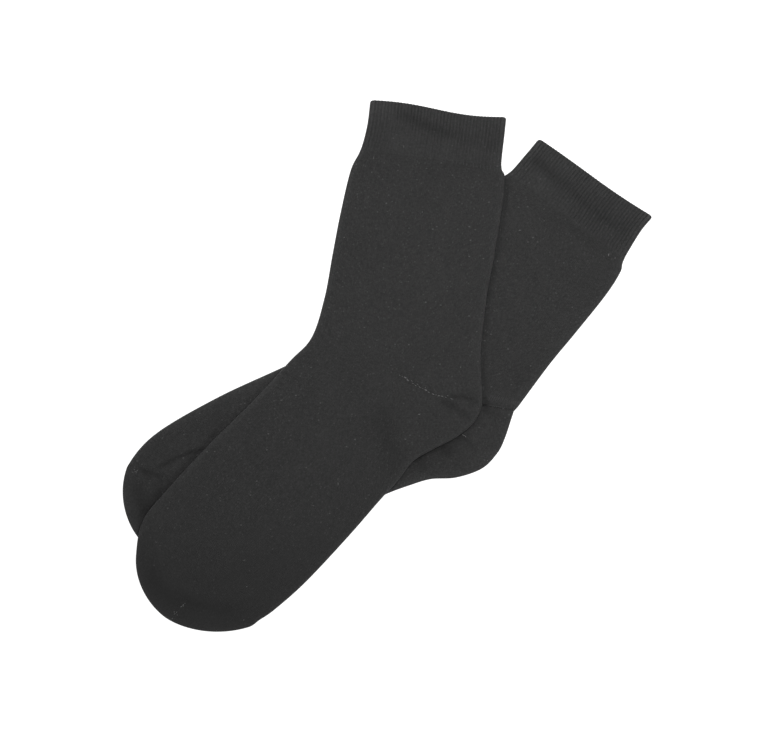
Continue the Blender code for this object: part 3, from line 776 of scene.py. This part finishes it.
def knitMaterial(name):
    look = yarn[name]
    material, tree, shader = newMaterial(name)
    coords = tree.nodes.new("ShaderNodeTexCoord").outputs["Object"]
    uvNode = tree.nodes.new("ShaderNodeUVMap")
    uvNode.uv_map = "knit"
    loops = placeGroup(tree, "knit", Place=uvNode.outputs[0])
    mottle = placeGroup(tree, "mottle", Place=coords)
    toneNode = tree.nodes.new("ShaderNodeAttribute")
    toneNode.attribute_name = "tone"

    # painted shade in creases and between loops, painted light along folds, and a little change in the dye
    tone = maths(tree, "ADD", toneNode.outputs["Fac"], 1.0)
    tone = varied(tree, tone, mottle["Cloud"], yarn["cloud"], 1.0)
    split = tree.nodes.new("ShaderNodeSeparateXYZ")
    tree.links.new(coords, split.inputs[0])
    # the foot is worn smoother towards the toe, and darker there with painted shade
    slope = (1 - yarn["smoothLeft"]) / (yarn["smoothFrom"] - yarn["smoothTo"])
    freshAndLit = maths(tree, "MULTIPLY_ADD", split.outputs[1], slope, 1 - slope * yarn["smoothFrom"])
    freshAndLit = maths(tree, "MAXIMUM", maths(tree, "MINIMUM", freshAndLit, 1.0), yarn["smoothLeft"])
    toeShading = yarn["toeShade"] / (1 - yarn["smoothLeft"])
    tone = varied(tree, tone, freshAndLit, -toeShading, 1 + toeShading)
    each = yarn["eachLoop"]
    grain = maths(tree, "MULTIPLY_ADD", loops["Each"], each, maths(tree, "ADD", mottle["Grain"], -each / 2))
    grain = maths(tree, "MULTIPLY", grain, freshAndLit)
    tone = varied(tree, tone, grain, look["grain"], 1.0)
    # painted shade in the gaps between loops, which the loops make up for
    gap = look["loopTone"]
    tone = varied(tree, tone, loops["Groove"], -gap, 1 + yarn["gapEven"] * gap)

    for turn, stretch, cell, share, radius, strength in yarn["fibres"]:
        mapping = tree.nodes.new("ShaderNodeMapping")
        setInputs(mapping, {"Rotation": (0.0, 0.0, turn), "Scale": stretch})
        tree.links.new(coords, mapping.inputs["Vector"])
        mask = placeGroup(tree, "flecks", Place=mapping.outputs[0], Cell=cell, Share=share, Radius=radius)
        mask = maths(tree, "MULTIPLY", mask["Mask"], freshAndLit)
        tone = maths(tree, "MULTIPLY_ADD", mask, strength * look["flecks"], tone)
    toned(tree, tone, look["colour"])

    bump = tree.nodes.new("ShaderNodeBump")
    setInputs(bump, {"Strength": 1.0, "Distance": look["loopDepth"]})
    rough = maths(tree, "MULTIPLY_ADD", mottle["Grain"], yarn["grainRise"], loops["Height"])
    tree.links.new(rough, bump.inputs["Height"])
    tree.links.new(bump.outputs[0], shader.inputs["Normal"])
    setInputs(shader, yarn["finish"])
    return material


def strandMaterial(name, colour):
    # loose yarn: twisted plies show as fine grains
    material, tree, shader = newMaterial(name)
    coords = tree.nodes.new("ShaderNodeTexCoord").outputs["Object"]
    mottle = placeGroup(tree, "mottle", Place=coords, CloudScale=strandLooks["cloudScale"],
                        GrainScale=strandLooks["grainScale"])
    uneven = maths(tree, "MULTIPLY_ADD", maths(tree, "ADD", *mottle[:2]), strandLooks["uneven"], 1.0)
    toned(tree, uneven, colour)
    shader.inputs["Roughness"].default_value = strandLooks["roughness"]
    return material


print("materials")
materials = {name: knitMaterial(name) for name in ("ribKnit", "plainKnit", "heelKnit", "toeKnit")}


def ribGrooves(plan, at, half, runOut):
    # how deep the grooves are at each row and column of a tube, as a share of the full depth
    place = np.arange(4 * half) / (4 * half) * ribbing["ribs"]
    random = np.random.default_rng(plan.values["seed"])
    each = random.uniform(*ribbing["uneven"], ribbing["ribs"])[place.astype(int) % ribbing["ribs"]]
    groove = (1 - np.abs(np.sin(math.pi * place)) ** ribbing["narrow"]) * each
    panel = columnPlaces(*plan.sections("leg", at), half) / mm
    slack = np.repeat(1 - (1 - plan.values["ribEnd"]) * at[:, None] / 2, panel.shape[1], 1)
    for x, y, reach, share in plan.values["flatRibs"]:
        slack *= 1 - share * np.exp(-((panel - (x, y)) ** 2).sum(2) / reach ** 2)
    return groove * np.concatenate((slack, slack[:, -2:0:-1]), 1) * runOut[:, None]


def weltWalls(plan, at):
    left = (1 - at) * np.linalg.norm(plan.front(1.0) - plan.front(0.0))
    share = eased(left / (plan.values["weltStep"] * mm))
    return lying["wall"] + (lying["weltWall"] - lying["wall"]) * share


def makeWelt(plan):
    half = lying["halfColumns"] * lying["ribColumns"]
    at = plan.places("leg", 0, 1, ribbing["rowStep"])
    at[0] = lying["rim"] / np.linalg.norm(plan.front(1.0) - plan.front(0.0))
    grooves = ribGrooves(plan, at, half, np.ones(len(at)))
    outer, inner, tone = tube(plan, "leg", at, weltWalls(plan, at), half, True, grooves)
    middle, reach = (outer[0] + inner[0]) / 2, (outer[0] - inner[0]) / 2
    scallop = 1 - ribbing["scallop"] * grooves[0]
    out = np.append(-plan.mouthDown, 0.0) * lying["rim"] * scallop[:, None]
    turns = np.radians((150, 120, 90, 60, 30))
    rim = np.array([middle + math.cos(t) * reach + math.sin(t) * out for t in turns])
    points = np.concatenate((inner[::-1], rim, outer))
    tone += ribbing["edgeTone"] * (1 - at)[:, None]
    tones = np.concatenate((tone[::-1], np.repeat(tone[:1], len(turns), 0), tone))
    v = courseLengths(plan, "leg", at)
    v = np.concatenate((-v[::-1] - 2 * lying["rim"], np.linspace(-2, -0.5, len(turns)) * lying["rim"], v))
    uvs = ringUvs(np.append(v, v[0]), 4 * half)
    rows, columns = tones.shape
    index = np.arange(rows * columns).reshape(rows, columns)
    faces = gridCorners(np.concatenate((index, index[:1])), True)
    seam = np.zeros((rows, columns), bool)
    seam[0] = seam[-1] = True
    return makeMesh(plan.values["name"] + "Welt", points.reshape(-1, 3), faces, gridCorners(uvs, False),
                    tones.ravel(), seam.ravel(), materials["ribKnit"])


def makeCuff(plan):
    half = lying["halfColumns"] * lying["ribColumns"]
    at = plan.places("leg", 1, 2, ribbing["rowStep"])
    left = (2 - at) * np.linalg.norm(plan.front(2.0) - plan.front(1.0))
    grooves = ribGrooves(plan, at, half, eased(left / ribbing["fade"]))
    outer, inner, tone = tube(plan, "leg", at, lying["wall"], half, False, grooves)
    uvs = ringUvs(courseLengths(plan, "leg", at, lying["cuffStart"]), 4 * half)
    return knitPiece(plan.values["name"] + "Cuff", [(outer, inner, tone, uvs, True)], materials["ribKnit"])


def makeBody(plan):
    # leg and foot in one, joined over the instep and open behind, where the heel goes
    half = lying["halfColumns"]
    blocks, start = [], lying["legStart"]
    for table, first, last in (("leg", 2, plan.legEnd), ("foot", 0, len(plan.foot) - 1)):
        at = plan.places(table, first, last, lying["rowStep"])
        outer, inner, tone = tube(plan, table, at, lying["wall"], half)
        v = courseLengths(plan, table, at, start)
        start = v[-1]
        blocks.append((outer, inner, tone, ringUvs(v, 4 * half), True))
    return knitPiece(plan.values["name"] + "LegFoot", blocks, materials["plainKnit"])


def makeHeel(plan):
    # a pocket of short rows that fan out from the point at the ankle, turned at the gore line
    half = lying["halfColumns"]
    gore = plan.legEnd + plan.values["gore"]
    blocks = []
    legWay = plan.apex - plan.back(plan.legEnd)
    footWay = plan.back(plan.heelEnd) - plan.apex
    for first, last, way in ((plan.legEnd, gore, legWay), (gore, plan.heelEnd, footWay)):
        steps = np.diff(plan.back(np.arange(first, last + 1.0)), axis=0)
        back = plan.back(evenPlaces(first, np.linalg.norm(steps, axis=1), lying["rowStep"]))
        apex = np.repeat(plan.apex[None], len(back), 0)
        pull = np.ones(len(back))
        outer = columnPlaces(back, apex, back, pull, half)[:, half:]
        inner = innerSection(plan, (back, apex, back, pull), lying["wall"])
        inner = columnPlaces(*inner, half)[:, half:]
        parts = []
        for side in (1, -1):
            whole = [np.concatenate((row[:, :0:-1], row), 1) for row in (outer, inner)]
            face, lining, tone = layer(plan, *whole, side, lying["wall"])
            parts.append((face[:, half:], lining[:, half:], tone[:, half:]))
        joined = [np.concatenate((a, b[:, -2::-1]), 1) for a, b in zip(*parts)]
        blocks.append((*joined, levelUvs(joined[0], way / np.linalg.norm(way)), False))
    return knitPiece(plan.values["name"] + "Heel", blocks, materials["heelKnit"])


def makeToe(plan):
    # a round pocket, closed at its tip
    half = lying["halfColumns"]
    at = np.sin(np.linspace(0, math.pi / 2, lying["toeRows"]))
    outer, inner, tone = tube(plan, "cap", at, lying["wall"], half)
    across = (plan.capBack - plan.capFront) / np.linalg.norm(plan.capBack - plan.capFront)
    uvs = levelUvs(np.concatenate((outer, outer[:, :1]), 1), across)
    return knitPiece(plan.values["name"] + "Toe", [(outer, inner, tone, uvs, True)], materials["toeKnit"])


for plan in (underPlan, topPlan):
    name = plan.values["name"]
    for part, make, slot in (("welt", makeWelt, "cuff_knit"), ("cuff", makeCuff, "cuff_knit"),
                             ("body", makeBody, "body_knit"), ("heel", makeHeel, "heel_knit"),
                             ("toe", makeToe, "toe_knit")):
        piece = make(plan)
        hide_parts(name + "_sock_" + part)


# Light yarn that shows: where the gores and toes were closed, and a few stray fibres.
# Columns: x, y, turn in degrees, length, thickness, in millimetres.
strands = {
    "topGoreStitches": ("top", "heel", "lightYarn", [
        (7.6, -6.3, -50, 1.1, 0.32), (9.3, -7.0, -25, 1.0, 0.28), (11.1, -7.7, -30, 1.9, 0.80),
        (12.6, -9.2, -55, 2.0, 0.86), (15.2, -9.8, -50, 1.2, 0.34), (15.9, -11.4, -20, 1.2, 0.38),
        (17.6, -12.6, -40, 1.3, 0.36), (18.8, -11.9, -50, 1.1, 0.30), (20.2, -13.7, -40, 1.5, 0.44),
        (22.1, -14.7, -30, 1.1, 0.30), (24.0, -15.5, -35, 2.0, 0.92), (23.7, -14.0, 40, 1.0, 0.30),
        (25.9, -16.9, -30, 1.5, 0.42), (28.6, -18.1, -30, 1.6, 0.52), (30.4, -18.6, -15, 1.0, 0.30),
        (32.1, -19.1, 10, 1.6, 0.58), (34.2, -19.4, -10, 1.5, 0.58), (36.5, -20.1, -20, 1.0, 0.30),
        (37.8, -19.1, -30, 1.0, 0.32), (40.2, -21.0, -25, 2.2, 0.28),
    ]),
    "topToeStitches": ("top", "toe", "lightYarn", [
        (-129.7, -151.7, 35, 1.5, 0.48), (-128.6, -150.7, 50, 1.3, 0.42), (-127.3, -149.7, 40, 1.1, 0.34),
        (-133.8, -156.3, 30, 1.4, 0.46), (-132.6, -155.3, 50, 1.1, 0.40), (-132.3, -156.9, -60, 0.9, 0.34),
        (-135.4, -159.2, 40, 1.1, 0.34), (-128.3, -151.4, 80, 0.9, 0.40), (-134.2, -155.2, 100, 0.9, 0.42),
    ]),
    "topStrayFibres": ("top", "body", "lightYarn", [
        (19.8, -30.7, 5, 1.6, 0.52), (45.9, -1.2, 80, 0.9, 0.40), (13.4, 13.0, 70, 0.9, 0.34),
        (-31.1, -71.5, 88, 1.6, 0.30), (-31.0, -74.4, 93, 1.9, 0.34), (-90.4, -160.2, 30, 0.9, 0.48),
        (-88.4, -139.0, 60, 0.9, 0.40), (-142.8, -102.1, 0, 0.7, 0.38), (-90.0, -122.3, 3, 1.6, 0.34),
        (-8.7, 130.5, 85, 1.9, 0.26), (10.2, 137.6, 88, 1.7, 0.26), (59.3, 33.0, 80, 0.8, 0.34),
        (-105.0, -83.2, 20, 0.8, 0.38), (-27.2, 80.4, 75, 1.0, 0.34), (21.8, 96.3, 80, 0.9, 0.32),
    ]),
    "underGoreStitches": ("under", "heel", "lightYarn", [
        (47.5, -43.9, -55, 1.8, 0.44), (48.8, -44.6, -50, 1.9, 0.48), (72.7, -27.3, 20, 1.2, 0.52),
        (62.8, -59.9, 60, 0.9, 0.38),
    ]),
    "underToeStitches": ("under", "toe", "lightYarn", [
        (-158.5, -66.7, 10, 1.5, 0.50), (-160.4, -67.2, -10, 1.2, 0.40), (-157.4, -66.2, 60, 0.9, 0.38),
        (-159.3, -65.6, -30, 1.0, 0.36), (-158.0, -67.6, 40, 0.9, 0.40),
    ]),
    "underStrayFibres": ("under", "body", "lightYarn", [
        (139.0, 69.5, 80, 1.8, 0.72), (143.1, 67.5, 80, 1.2, 0.38), (83.1, 84.9, 8, 1.5, 0.46),
        (98.4, 98.3, 60, 0.9, 0.32), (116.0, 36.5, 85, 1.0, 0.32), (-104.0, -34.5, 20, 0.9, 0.34),
    ]),
    # towards the back fold the ribs run a little way on into the leg
    "topRibEnds": ("top", "body", "softYarn", [
        (-16.7 + 2.145 * k, 135.2 - 0.254 * k - 0.115 * (k - 20), 91 + 0.4 * (k - 26),
         1.4 + 0.23 * (k - 26), 0.30) for k in range(27, 41)
    ]),
    # the leg's last courses over the heel lie on their side
    "underHeelTurn": ("under", "body", "softYarn", [
        (64.4 + 1.36 * k, -20.4 - 0.16 * k, 62, 4.6 - 0.14 * k, 0.42) for k in range(8)
    ] + [(75.2 + 1.3 * k, -22.7 - 0.2 * k, 74, 2.4 - 0.2 * k, 0.40) for k in range(4)]),
}
strandLooks = {
    "lightYarn": 0.125,       # how light each yarn is
    # the knit's own yarn, made a little lighter as painted light on the ridges that it makes
    "softYarn": 0.040,
    "uneven": 0.9,
    "cloudScale": 700.0,
    "grainScale": 4200.0,
    "roughness": 0.9,
    "raised": 0.10 * mm,      # middle of a strand, over the cloth
    "bends": [(0.18, 0.08), (0.34, 0.16)],    # past this far out a strand drops by this much
}


def bentStrand():
    # a short arch of yarn, a millimetre long and thick
    bpy.ops.mesh.primitive_uv_sphere_add(segments=8, ring_count=8, radius=0.5 * mm,
                                         rotation=(0.0, math.pi / 2, 0.0))
    strand = bpy.context.object
    bpy.ops.object.transform_apply(location=False, rotation=True, scale=False)
    bpy.ops.object.mode_set(mode="EDIT")
    mesh = bmesh.from_edit_mesh(strand.data)
    for reach, drop in strandLooks["bends"]:     # the ends bend down into the cloth
        for vertex in mesh.verts:
            vertex.select_set(abs(vertex.co.x) > reach * mm)
        bmesh.update_edit_mesh(strand.data)
        bpy.ops.transform.translate(value=(0.0, 0.0, -drop * mm))
    bpy.ops.object.mode_set(mode="OBJECT")
    bpy.ops.object.shade_smooth()
    return strand


def layStrands(name, plan, rows, material):
    model = bentStrand()
    copies = []
    heights = plan.crest(np.array([row[:2] for row in rows]) * mm)
    for (x, y, turn, length, thick), height in zip(rows, heights):
        strand = model.copy()
        strand.data = model.data.copy()
        strand.location = (x * mm, y * mm, height + strandLooks["raised"])
        strand.rotation_euler = (0.0, 0.0, math.radians(turn))
        strand.scale = (length, thick, thick)
        bpy.context.scene.collection.objects.link(strand)
        copies.append(strand)
    bpy.data.objects.remove(model)
    bpy.ops.object.select_all(action="DESELECT")
    for strand in copies:
        strand.select_set(True)
    bpy.context.view_layer.objects.active = copies[0]
    bpy.ops.object.join()
    bpy.ops.object.transform_apply()
    piece = bpy.context.object
    piece.name = piece.data.name = name
    piece.data.materials.append(material)
    piece.select_set(False)
    return piece


print("light yarn")
for name in ("lightYarn", "softYarn"):
    materials[name] = strandMaterial(name, strandLooks[name])
for name, (sock, part, look, rows) in strands.items():
    piece = layStrands(name, topPlan if sock == "top" else underPlan, rows, materials[look])
    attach(piece, "root")


# Stage: a white table, soft light from above, and a camera that looks straight down.
stage = {
    "cameraHeight": 1.6,
    "viewWidth": 0.4873,      # what the picture spans at the cloth
    "clothHeight": 0.003,
    "centre": (-0.00003, -0.000126),
    "fill": 0.16,             # light from all round
    "table": 0.35,
    "tableRoughness": 0.9,
    "tableSize": 6.0,
    "tableBelow": 0.0001,     # a hair under the cloth
    "tableGlow": 1.0,         # a table lit so strongly that it has no shadows
    "sensor": 36.0,
}
lamps = {                     # place, size, power
    "keyLight": ((0.09, 0.17, 0.54), 0.45, 2.7),
    "sideLight": ((-2.4, 0.6, 1.9), 0.80, 14.0),
    "lowLight": ((0.9, -2.4, 1.5), 0.80, 16.0),
}
print("stage")
bpy.ops.mesh.primitive_plane_add(size=stage["tableSize"], location=(0.0, 0.0, -stage["tableBelow"]))
floor = bpy.context.object
floor.name = "tableTop"
floorMaterial, _, floorShader = newMaterial("tableWhite")
setInputs(floorShader, {
    "Base Color": (*[stage["table"]] * 3, 1.0), "Roughness": stage["tableRoughness"],
    "Emission Color": (1.0, 1.0, 1.0, 1.0), "Emission Strength": stage["tableGlow"]})
floor.data.materials.append(floorMaterial)

# the room is white to look at, and gives only the fill
world = bpy.data.worlds.new("studio")
world.use_nodes = True
room = world.node_tree
path = room.nodes.new("ShaderNodeLightPath")
level = maths(room, "MULTIPLY_ADD", path.outputs["Is Camera Ray"], 1 - stage["fill"], stage["fill"])
room.links.new(level, room.nodes["Background"].inputs["Strength"])
room.nodes["Background"].inputs["Color"].default_value = (1.0, 1.0, 1.0, 1.0)
bpy.context.scene.world = world

for name, (place, size, power) in lamps.items():
    light = bpy.data.lights.new(name, "AREA")
    light.size, light.energy = size, power
    lamp = bpy.data.objects.new(name, light)
    lamp.location = place
    lamp.rotation_mode = "QUATERNION"
    lamp.rotation_quaternion = lamp.location.to_track_quat("Z", "Y")
    lamp.visible_camera = False
    bpy.context.scene.collection.objects.link(lamp)

cameraData = bpy.data.cameras.new("camera")
cameraData.sensor_width = stage["sensor"]
cameraData.lens = stage["sensor"] * (stage["cameraHeight"] - stage["clothHeight"]) / stage["viewWidth"]
camera = bpy.data.objects.new("camera", cameraData)
camera.location = (*stage["centre"], stage["cameraHeight"])
bpy.context.scene.collection.objects.link(camera)
bpy.context.scene.camera = camera
bpy.context.scene.view_settings.view_transform = "Standard"

bpy.context.view_layer.update()
print("done")
